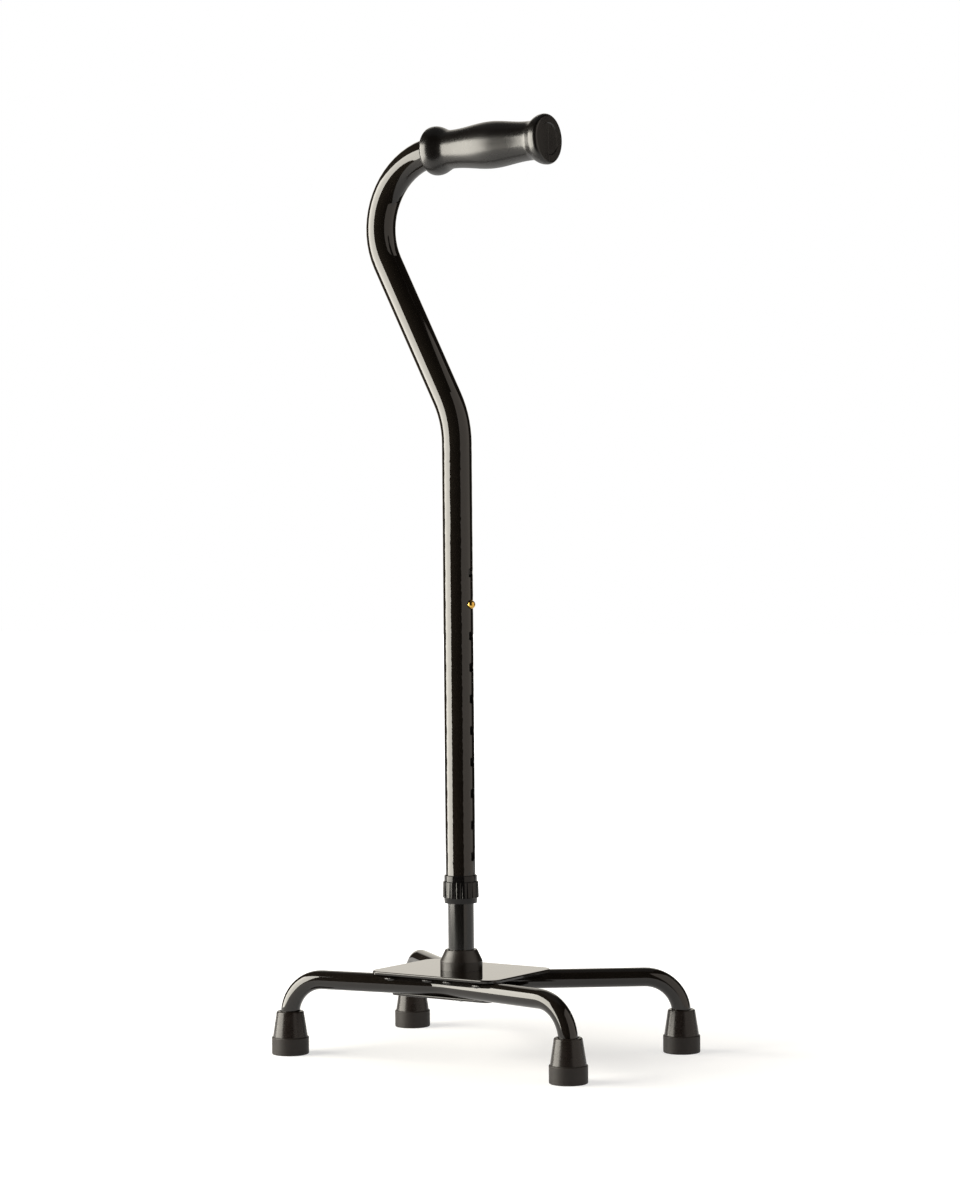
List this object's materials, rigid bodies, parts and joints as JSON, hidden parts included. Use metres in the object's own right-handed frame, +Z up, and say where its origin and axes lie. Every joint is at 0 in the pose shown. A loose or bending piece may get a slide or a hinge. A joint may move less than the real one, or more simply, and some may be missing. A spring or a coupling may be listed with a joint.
{
  "type": "quad walking cane",
  "caption": "Height-adjustable walking cane with an offset swan-neck handle, a moulded grip and a wide base of splayed legs on rubber tips, set for the left hand",
  "frame": {"origin": "on the floor, at the centre of the four rubber tips", "axes": "+X is the walking direction, which the grip points along; +Y is the far side of the base, away from the user; +Z is up along the shaft"},
  "size_m": [0.3003, 0.2022, 0.7546],
  "materials": {
    "handle_enamel": "gloss black enamel on aluminium tube",
    "inner_tube_enamel": "satin black enamel on aluminium tube",
    "base_enamel": "gloss black enamel on steel",
    "grip_plastic": "satin moulded, firm to the hand",
    "tip_rubber": "moulded rubber, satin cone and matte foot ring",
    "boot_plastic": "matte moulded",
    "lock_plastic": "semi-gloss moulded",
    "collet_plastic": "natural nylon",
    "bush_plastic": "satin moulded",
    "insert_plastic": "satin moulded",
    "button_brass": "polished",
    "spring_steel": "blued spring strip",
    "zinc_steel": "bright zinc plate"
  },
  "bodies": {
    "base": {"base_top_plate": "base_enamel", "base_bottom_plate": "base_enamel", "user_side_leg_tube": "base_enamel", "far_side_leg_tube": "base_enamel", "tip_back_user_side": "tip_rubber", "tip_front_user_side": "tip_rubber", "tip_front_far_side": "tip_rubber", "tip_back_far_side": "tip_rubber", "tip_washers": "zinc_steel", "base_boot": "boot_plastic", "base_bolt": "zinc_steel", "base_spring_washer": "zinc_steel", "base_flat_washer": "zinc_steel", "tube_insert": "insert_plastic", "inner_tube": "inner_tube_enamel", "snap_spring": "spring_steel"},
    "button": {"snap_button": "button_brass"},
    "bush": {"guide_bush": "bush_plastic"},
    "handle": {"handle_tube": "handle_enamel", "handle_grip": "grip_plastic", "tube_end_plug": "bush_plastic", "lock_collar": "lock_plastic"},
    "collet": {"clamp_collet": "collet_plastic"},
    "nut": {"lock_nut": "lock_plastic"}
  },
  "joints": [
    {"name": "handle_turn", "type": "hinge", "parent": "base", "child": "bush", "pos_m": [0, -0.034, 0], "axis": [0, 0, 1], "range_deg": [0, 180], "deforming": ["snap_button", "snap_spring"]},
    {"name": "height_adjust", "type": "slide", "parent": "bush", "child": "handle", "axis": [0, 0, 1], "range_m": [-0.0254, 0.2032], "deforming": ["snap_button", "snap_spring"]},
    {"name": "collet_travel", "type": "slide", "parent": "handle", "child": "collet", "axis": [0, 0, -1], "range_m": [0, 0.0012]},
    {"name": "nut_turn", "type": "hinge", "parent": "collet", "child": "nut", "pos_m": [0, -0.034, 0.13], "axis": [0, 0, -1], "range_deg": [0, 288]},
    {"name": "button_press", "type": "slide", "parent": "base", "child": "button", "axis": [-1, 0, 0], "range_m": [0, 0.0053], "stiffness_N_per_m": 2000, "springref_m": -0.002, "deforming": ["snap_spring"]}
  ],
  "couplings": [
    {"joint": "nut_turn", "follows": "collet_travel", "rad_per_m": 4188.7}
  ]
}
